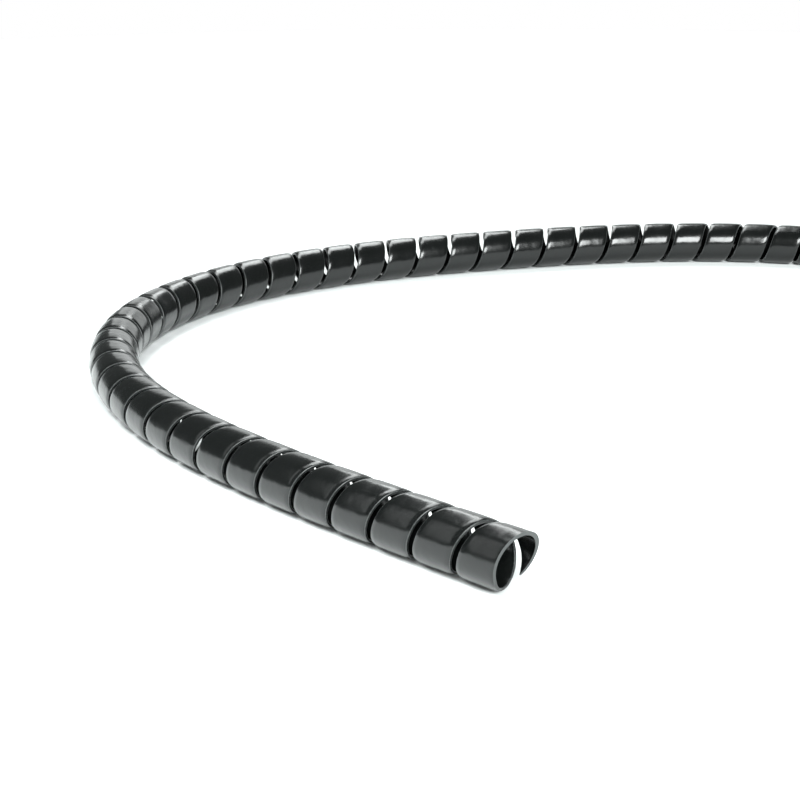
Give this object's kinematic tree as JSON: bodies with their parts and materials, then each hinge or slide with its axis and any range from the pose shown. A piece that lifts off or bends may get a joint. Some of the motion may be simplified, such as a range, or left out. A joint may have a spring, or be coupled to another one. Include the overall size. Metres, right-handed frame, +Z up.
{
  "type": "spiral cable wrap",
  "caption": "Left-handed helical strip of gloss black plastic forming an open, flexible tube that bundles and protects cables, lying on the floor in a wide U",
  "frame": {"origin": "centre of the footprint, on the floor the wrap lies on", "axes": "+Y runs across the mouth of the U from the near leg to the far leg, +X is the side both cut ends face, +Z is up"},
  "size_m": [0.4402, 0.469, 0.02],
  "materials": {
    "wrap_plastic": "glossy, smooth extruded black plastic"
  },
  "bodies": {
    "root": {"spiral_wrap": "wrap_plastic"}
  },
  "joints": []
}
